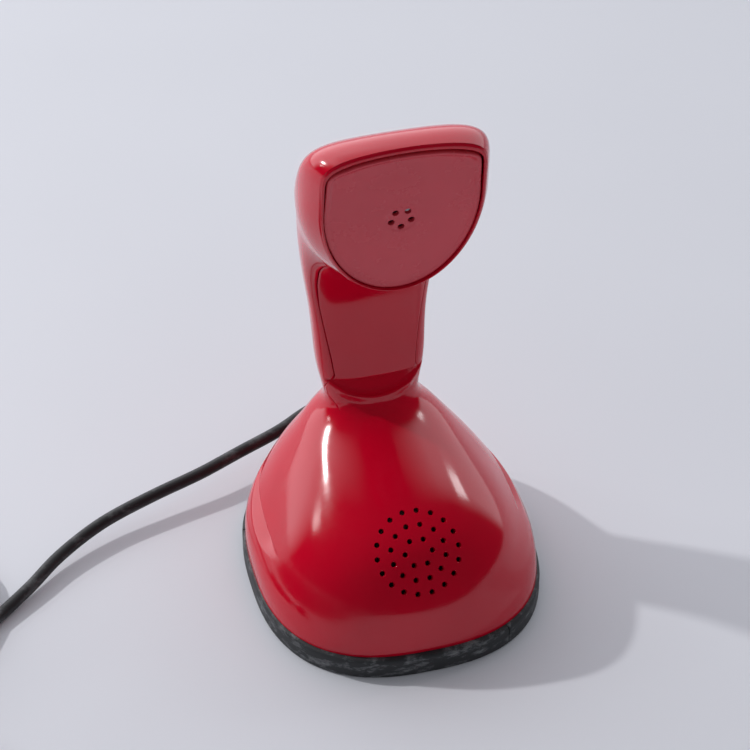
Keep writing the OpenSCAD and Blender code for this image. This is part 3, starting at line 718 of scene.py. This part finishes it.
# Cross-section of the rubber: how far in from the outside, and height
BAND_SECTION = [
    (0.9, 0.0), (0.35, 0.15), (0.06, 0.6), (0.0, 1.6), (0.12, 4.2), (0.05, 7.2), (0.25, 8.1),
    (0.75, 8.6), (1.3, 8.75), (2.3, 8.7), (4.4, 8.7), (4.6, 8.4), (4.6, 6.7), (8.8, 6.7),
    (9.0, 6.5), (9.0, 4.9), (8.8, 4.7), (5.0, 4.7), (4.6, 4.4), (4.6, 0.5), (4.2, 0.0),
]


def build_band(name, start, end):
    steps = int((end - start) * 1.2)
    n = len(BAND_SECTION)
    verts = []
    for i in range(steps + 1):
        angle = start + (end - start) * i / steps
        verts += [band_point(angle, u, z) for u, z in BAND_SECTION]
    faces = []
    for i in range(steps):
        faces += strip_faces(i * n, (i + 1) * n, n)
    faces.append(tuple(range(n)))
    faces.append(tuple(range((steps + 1) * n - 1, steps * n - 1, -1)))
    return mesh_object(name, verts, faces, sharp=40)


band_front = build_band("band_front", BAND_LEFT + BAND_GAP, BAND_RIGHT - BAND_GAP)
band_rear = build_band("band_rear", BAND_RIGHT + BAND_GAP, BAND_LEFT + 360 - BAND_GAP)
for piece, node in ((band_front, "foot_band_front"), (band_rear, "foot_band_rear")):
    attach(piece, "phone")
    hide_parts(node)


# ---------------------------------------------------------------- dial, button and spring

PLATE_Z = 6.7
DIGIT_Z = PLATE_Z - 1.03
WHEEL_D, WHEEL_Z, WHEEL_T = 77.0, 2.4, 2.5
BUTTON_D = 20.6
FINGER_D, FINGER_RING = 12.5, 28.0
HOLES = 10


def hole_angle(n):
    """Direction of finger hole n, from 1 round to 10 for nought."""
    return math.radians(-60 - 30 * (n + 1))


def circle_spline(curve, x, y, radius):
    points = 48
    line = curve.splines.new("POLY")
    line.points.add(points - 1)
    for k, p in enumerate(line.points):
        a = 2 * math.pi * k / points
        p.co = ((x + radius * math.cos(a)) * MM, (y + radius * math.sin(a)) * MM, 0, 1)
    line.use_cyclic_u = True


def pierced_plate(name, low, high, loops, edge):
    """A flat plate between two heights with rounded edges; the loops are its outline and holes."""
    curve = bpy.data.curves.new(name, "CURVE")
    curve.dimensions = "2D"
    curve.fill_mode = "BOTH"
    for loop in loops:
        circle_spline(curve, *loop)
    curve.bevel_depth = edge * MM
    curve.bevel_resolution = 2
    curve.offset = -edge * MM
    curve.extrude = ((high - low) / 2 - edge) * MM
    shape = bpy.data.objects.new(name, curve)
    scene.collection.objects.link(shape)
    bpy.context.view_layer.update()
    mesh = bpy.data.meshes.new_from_object(shape)
    bpy.data.objects.remove(shape)
    mesh.transform(Matrix.Translation((0, 0, (low + high) / 2 * MM)))
    obj = bpy.data.objects.new(name, mesh)
    scene.collection.objects.link(obj)
    bm = bmesh.new()
    bm.from_mesh(mesh)
    bmesh.ops.remove_doubles(bm, verts=bm.verts, dist=1e-6)
    bm.to_mesh(mesh)
    bm.free()
    finish_mesh(obj, 25)
    return obj


def turned(name, profile, sides=96):
    """A solid of revolution about the upright axis, from radius and height pairs."""
    verts, faces = [], []
    for r, z in profile:
        for k in range(sides):
            a = 2 * math.pi * k / sides
            verts.append((r * math.cos(a), r * math.sin(a), z))
    for i in range(len(profile) - 1):
        faces += strip_faces(i * sides, (i + 1) * sides, sides)
    faces.append(tuple(range(sides)))
    faces.append(tuple(range(len(profile) * sides - 1, (len(profile) - 1) * sides - 1, -1)))
    return mesh_object(name, verts, faces, sharp=35)


wheel_loops = [(0, 0, WHEEL_D / 2), (0, 0, BUTTON_D / 2 + 0.7)]
for n in range(1, HOLES + 1):
    a = hole_angle(n)
    wheel_loops.append((FINGER_RING * math.cos(a), FINGER_RING * math.sin(a), FINGER_D / 2))
for i in range(3):
    a = math.radians(120 * i + 15)
    wheel_loops.append((13.6 * math.cos(a), 13.6 * math.sin(a), 0.9))
wheel = pierced_plate("wheel", WHEEL_Z, WHEEL_Z + WHEEL_T, wheel_loops, 0.5)
digit_ring = pierced_plate("digit_ring", PLATE_Z - 1, PLATE_Z, [(0, 0, 41), (0, 0, 17.5)], 0.15)
button = turned(
    "button",
    [
        (0.5, 0.36), (3, 0.34), (8.4, 0.3), (9.3, 0.36), (9.9, 0.62), (10.2, 1.0), (10.3, 1.5),
        (10.3, 2.9), (10.1, 3.15), (9.8, 3.2), (3.6, 3.2), (3.25, 3.1), (3.2, 2.9), (3.2, 1.8),
        (0.5, 1.8),
    ],
)


def helix(name, radius, wire, low, high, turns):
    """A round-wire coil spring with closed ends."""
    sides, steps = 8, int(turns * 28)
    verts, faces = [], []
    for i in range(steps + 1):
        f = i / steps
        a = 2 * math.pi * turns * f
        z = low + wire + (high - low - 2 * wire) * float(smooth_step(0.06, 0.94, f))
        centre = Vector((radius * math.cos(a), radius * math.sin(a), z))
        out = Vector((math.cos(a), math.sin(a), 0))
        for k in range(sides):
            b = 2 * math.pi * k / sides
            verts.append(centre + (out * math.cos(b) + Vector((0, 0, 1)) * math.sin(b)) * wire)
    for i in range(steps):
        faces += strip_faces(i * sides, (i + 1) * sides, sides)
    faces.append(tuple(range(sides)))
    faces.append(tuple(range((steps + 1) * sides - 1, steps * sides - 1, -1)))
    return mesh_object(name, verts, faces, sharp=80)


return_spring = helix("return_spring", 4.1, 0.45, 22, 29, 4.5)


def digits():
    """Plain figures on the number ring, to be read from below through the finger holes."""
    made = []
    for n in range(1, HOLES + 1):
        text = bpy.data.curves.new("digit", "FONT")
        text.body = str(n % 10)
        text.size = 7.5 * MM
        text.align_x = "CENTER"
        text.align_y = "CENTER"
        text.extrude = 0.04 * MM
        obj = bpy.data.objects.new("digit", text)
        scene.collection.objects.link(obj)
        a = hole_angle(n)
        spot = Vector((FINGER_RING * math.cos(a), FINGER_RING * math.sin(a), DIGIT_Z)) * MM
        bpy.context.view_layer.update()
        mesh = bpy.data.meshes.new_from_object(obj)
        bpy.data.objects.remove(obj)
        mesh.transform(Matrix.Translation(spot) @ Matrix.Rotation(math.pi, 4, "X"))
        made.append(mesh)
    bm = bmesh.new()
    for mesh in made:
        bm.from_mesh(mesh)
    bmesh.ops.remove_doubles(bm, verts=bm.verts, dist=1e-7)
    joined = bpy.data.meshes.new("digits")
    bm.to_mesh(joined)
    bm.free()
    obj = bpy.data.objects.new("digits", joined)
    scene.collection.objects.link(obj)
    return obj


figures = digits()
for piece, node, body, slot in (
    (wheel, "finger_wheel", "dial", "dial_black"),
    (digit_ring, "number_ring", "phone", "ring_ivory"),
    (button, "line_button", "button", "dial_black"),
):
    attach(piece, body)
    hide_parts(node)
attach(figures, "phone")
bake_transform(return_spring)
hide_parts("button_spring")


# ---------------------------------------------------------------- materials


def material(name, color, rough, metal=0.0, ior=1.5):
    mat = bpy.data.materials.new(name)
    mat.use_nodes = True
    bsdf = mat.node_tree.nodes["Principled BSDF"]
    bsdf.inputs["Base Color"].default_value = (*color, 1)
    bsdf.inputs["Roughness"].default_value = rough
    bsdf.inputs["Metallic"].default_value = metal
    bsdf.inputs["IOR"].default_value = ior
    return mat, mat.node_tree, bsdf


def add(tree, kind, **values):
    made = tree.nodes.new(kind)
    for k, v in values.items():
        if hasattr(made, k):
            setattr(made, k, v)
        else:
            made.inputs[k.replace("_", " ")].default_value = v
    return made


def link(tree, a, b):
    tree.links.new(a, b)


def noise(tree, scale, detail=3.0, rough=0.5, stretch=(1, 1, 1)):
    coord = add(tree, "ShaderNodeTexCoord")
    mapping = add(tree, "ShaderNodeMapping")
    mapping.inputs["Scale"].default_value = stretch
    made = add(tree, "ShaderNodeTexNoise")
    made.inputs["Scale"].default_value = scale
    made.inputs["Detail"].default_value = detail
    made.inputs["Roughness"].default_value = rough
    link(tree, coord.outputs["Object"], mapping.inputs["Vector"])
    link(tree, mapping.outputs["Vector"], made.inputs["Vector"])
    return made.outputs["Fac"]


def ramp(tree, value, low, high, out_low=0.0, out_high=1.0):
    made = add(tree, "ShaderNodeMapRange")
    made.inputs["From Min"].default_value = low
    made.inputs["From Max"].default_value = high
    made.inputs["To Min"].default_value = out_low
    made.inputs["To Max"].default_value = out_high
    link(tree, value, made.inputs["Value"])
    return made.outputs["Result"]


def mix_color(tree, fac, a, b):
    made = add(tree, "ShaderNodeMix", data_type="RGBA")
    made.inputs["A"].default_value = (*a, 1)
    made.inputs["B"].default_value = (*b, 1)
    link(tree, fac, made.inputs["Factor"])
    return made.outputs["Result"]


def bump(tree, bsdf, height, strength, distance):
    made = add(tree, "ShaderNodeBump")
    made.inputs["Strength"].default_value = strength
    made.inputs["Distance"].default_value = distance
    link(tree, height, made.inputs["Height"])
    link(tree, made.outputs["Normal"], bsdf.inputs["Normal"])


def red_plastic(name, color, rough, worn):
    mat, tree, bsdf = material(name, color, rough, ior=1.53)
    tone = mix_color(
        tree,
        ramp(tree, noise(tree, 26, 4), 0.35, 0.7),
        color,
        tuple(c * 0.9 for c in color),
    )
    link(tree, tone, bsdf.inputs["Base Color"])
    haze = ramp(tree, noise(tree, 55, 6, 0.65), 0.3, 0.75, rough * 0.8, rough * 1.25 + worn)
    link(tree, haze, bsdf.inputs["Roughness"])
    bump(tree, bsdf, noise(tree, 420, 2), 0.02, 0.0002)
    return mat


def rubber(name, dark, pale, rough):
    mat, tree, bsdf = material(name, dark, rough)
    scuff = ramp(tree, noise(tree, 120, 6, 0.7, (1, 1, 2.5)), 0.5, 0.78)
    link(tree, mix_color(tree, scuff, dark, pale), bsdf.inputs["Base Color"])
    bump(tree, bsdf, noise(tree, 900, 3), 0.15, 0.0002)
    bsdf.inputs["Specular IOR Level"].default_value = 0.35
    return mat


def metal(name, color, rough, stretch=(1, 1, 1)):
    mat, tree, bsdf = material(name, color, rough, 1.0)
    streak = noise(tree, 300, 4, 0.6, stretch)
    link(tree, ramp(tree, streak, 0.3, 0.7, rough * 0.75, rough * 1.3), bsdf.inputs["Roughness"])
    bump(tree, bsdf, streak, 0.05, 0.0001)
    return mat


def moulded(name, color, rough):
    mat, tree, bsdf = material(name, color, rough)
    link(
        tree,
        ramp(tree, noise(tree, 200, 4), 0.3, 0.7, rough * 0.85, rough * 1.15),
        bsdf.inputs["Roughness"],
    )
    bump(tree, bsdf, noise(tree, 700, 3), 0.06, 0.0001)
    return mat


slots = {
    "shell_red": red_plastic("red_shell", (0.62, 0.001, 0.02), 0.1, 0.04),
    # The cap's base colour is its red plastic, made paler and pinker than the shell's with painted
    # reflection of the pale floor.
    "cap_red": red_plastic("red_cap", (0.7, 0.05, 0.075), 0.24, 0.06),
    "band_rubber": rubber("band_rubber", (0.035, 0.037, 0.04), (0.3, 0.31, 0.32), 0.6),
    "cord_black": rubber("cord_black", (0.02, 0.02, 0.022), (0.12, 0.12, 0.125), 0.5),
    "plated_steel": metal("plated_steel", (0.62, 0.62, 0.6), 0.32),
    "chromed": metal("chromed", (0.8, 0.8, 0.8), 0.12),
    "spring_steel": metal("spring_steel", (0.36, 0.38, 0.42), 0.3),
    "turned_brass": metal("turned_brass", (0.72, 0.52, 0.24), 0.28),
    "contact_bronze": metal("contact_bronze", (0.74, 0.56, 0.34), 0.26),
    "rotor_alloy": metal("rotor_alloy", (0.55, 0.55, 0.56), 0.4),
    "capsule_alloy": metal("capsule_alloy", (0.6, 0.6, 0.62), 0.3),
    "winding_copper": metal("winding_copper", (0.55, 0.22, 0.1), 0.35, (1, 1, 12)),
    "ring_ivory": moulded("ring_ivory", (0.78, 0.75, 0.66), 0.3),
    "dial_black": moulded("dial_black", (0.012, 0.012, 0.013), 0.16),
    "nylon": moulded("nylon", (0.7, 0.66, 0.54), 0.4),
    "board_brown": moulded("board_brown", (0.16, 0.07, 0.03), 0.45),
    "moulding_black": moulded("moulding_black", (0.02, 0.02, 0.021), 0.35),
    "gasket_rubber": rubber("gasket_rubber", (0.03, 0.03, 0.03), (0.08, 0.08, 0.08), 0.7),
    "film_yellow": moulded("film_yellow", (0.65, 0.48, 0.08), 0.25),
    "lead_blue": moulded("lead_blue", (0.03, 0.06, 0.25), 0.4),
    "lead_brown": moulded("lead_brown", (0.16, 0.05, 0.025), 0.4),
    "tie_grey": moulded("tie_grey", (0.07, 0.07, 0.07), 0.45),
}
for part in frame["record"]["subparts"]:
    obj = nodes[part["node"]]
    obj.data.materials.clear()
    obj.data.materials.append(slots[part["material_slot"]])
for piece, slot in (
    (shell, "shell_red"), (panel, "shell_red"), (cap, "cap_red"), (band_front, "band_rubber"),
    (band_rear, "band_rubber"), (cord, "cord_black"), (wheel, "dial_black"),
    (digit_ring, "ring_ivory"), (button, "dial_black"), (figures, "dial_black"),
    (return_spring, "spring_steel"),
):
    piece.data.materials.clear()
    piece.data.materials.append(slots[slot])


# ---------------------------------------------------------------- stage and lights


def direction(azimuth, elevation):
    """Azimuth 0 is towards the front, 90 towards +X."""
    a, e = math.radians(azimuth), math.radians(elevation)
    return Vector((math.sin(a) * math.cos(e), -math.cos(a) * math.cos(e), math.sin(e)))


def area_light(name, azimuth, elevation, distance, width, height, power):
    light = bpy.data.lights.new(name, "AREA")
    light.shape = "RECTANGLE"
    light.size, light.size_y = width, height
    light.energy = power
    obj = bpy.data.objects.new(name, light)
    scene.collection.objects.link(obj)
    d = direction(azimuth, elevation)
    obj.location = Vector((0, 0, 0.06)) + d * distance
    obj.rotation_euler = (-d).to_track_quat("-Z", "Y").to_euler()


FLOOR = [(-3, -0.75, 0), (3, -0.75, 0), (3, 4, 0), (-3, 4, 0)]
floor = mesh_object("floor", FLOOR, [(0, 1, 2, 3)], 1)
floor_mat, tree, bsdf = material("floor", (0.78, 0.79, 0.84), 0.75)
bsdf.inputs["Specular IOR Level"].default_value = 0.2
shade = mix_color(
    tree, ramp(tree, noise(tree, 3, 3), 0.35, 0.65), (0.76, 0.77, 0.82), (0.79, 0.8, 0.85)
)
link(tree, shade, bsdf.inputs["Base Color"])
floor.data.materials.append(floor_mat)

area_light("key", -125, 36, 1.6, 0.05, 0.05, 9.5)
area_light("left_panel", -117, 27, 1.7, 0.12, 0.22, 0.75)
area_light("right_panel", 111, 33, 1.7, 0.16, 0.24, 0.9)

LEFT_GLOW, RIGHT_GLOW, DARK_GLOW, FILL = 1.75, 1.15, 0.02, 0.28
world = bpy.data.worlds.new("studio")
world.use_nodes = True
scene.world = world
tree = world.node_tree
background = tree.nodes["Background"]
coord = add(tree, "ShaderNodeTexCoord")
parts = add(tree, "ShaderNodeSeparateXYZ")
link(tree, coord.outputs["Generated"], parts.inputs["Vector"])


def plane_side(across, ahead, low, high):
    """Rises from 0 to 1 as the direction passes an upright plane."""
    first = add(tree, "ShaderNodeMath", operation="MULTIPLY")
    first.inputs[1].default_value = across
    link(tree, parts.outputs["X"], first.inputs[0])
    second = add(tree, "ShaderNodeMath", operation="MULTIPLY_ADD")
    second.inputs[1].default_value = ahead
    link(tree, parts.outputs["Y"], second.inputs[0])
    link(tree, first.outputs[0], second.inputs[2])
    return ramp(tree, second.outputs[0], low, high)


def times(a, b):
    made = add(tree, "ShaderNodeMath", operation="MULTIPLY")
    link(tree, a, made.inputs[0])
    link(tree, b, made.inputs[1])
    return made.outputs[0]


# bright walls behind the object: the left one from azimuth -118, the right one from 104
walls = times(plane_side(0.469, 0.883, -0.02, 0.16), plane_side(-0.242, 0.97, 0.0, 0.12))
glow = ramp(tree, parts.outputs["X"], -0.1, 0.35, LEFT_GLOW, RIGHT_GLOW)
height = ramp(tree, parts.outputs["Z"], 0.74, 0.95, 1.0, 0.0)
ray = add(tree, "ShaderNodeLightPath")
share = ramp(tree, ray.outputs["Is Diffuse Ray"], 0, 1, 1.3, 0.65)
sky = times(times(times(walls, glow), height), share)
fill = ramp(tree, ray.outputs["Is Diffuse Ray"], 0, 1, DARK_GLOW, FILL)
lit = add(tree, "ShaderNodeMath", operation="ADD")
link(tree, fill, lit.inputs[1])
link(tree, sky, lit.inputs[0])
background.inputs["Color"].default_value = (0.97, 0.985, 1.04, 1)
link(tree, lit.outputs[0], background.inputs["Strength"])
